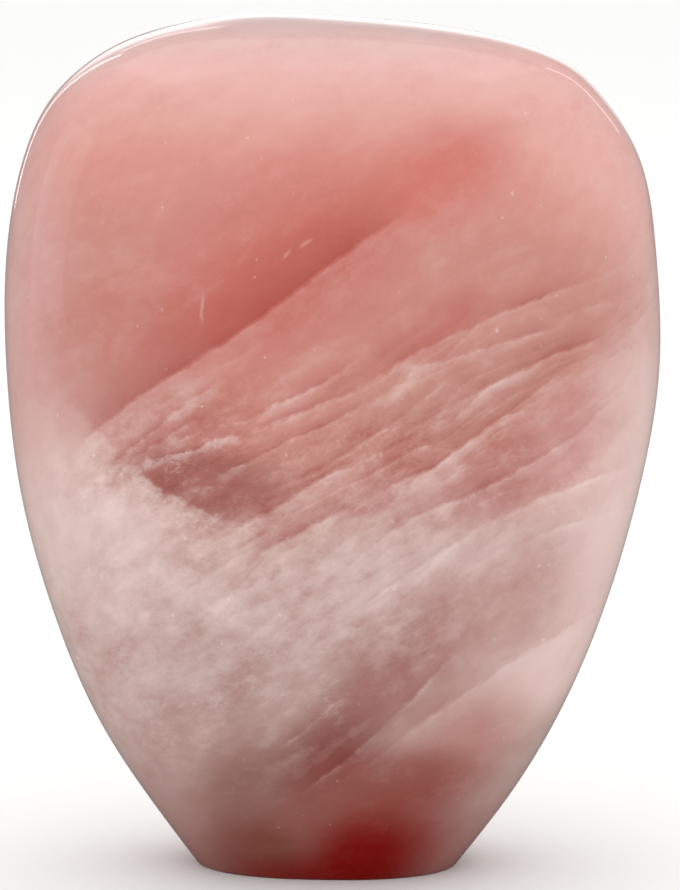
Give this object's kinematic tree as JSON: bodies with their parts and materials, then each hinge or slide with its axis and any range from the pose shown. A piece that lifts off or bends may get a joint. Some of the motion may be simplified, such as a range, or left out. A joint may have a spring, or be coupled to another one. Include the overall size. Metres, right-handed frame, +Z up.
{
  "type": "polished rose quartz freeform",
  "caption": "Smooth polished rose quartz stone, broad and round at the top, tapering to a flat sawn foot on which it stands.",
  "frame": {"origin": "centre of the flat sawn foot, in its plane", "axes": "+Z up from the foot to the crown; the broad front faces -Y; +X is the stone's right seen from the front"},
  "size_m": [0.0752, 0.0466, 0.0982],
  "materials": {
    "polished_rose_quartz": "polished to a high gloss; the sawn foot ground flat"
  },
  "bodies": {
    "root": {"rose_quartz_stone": "polished_rose_quartz"}
  },
  "joints": []
}
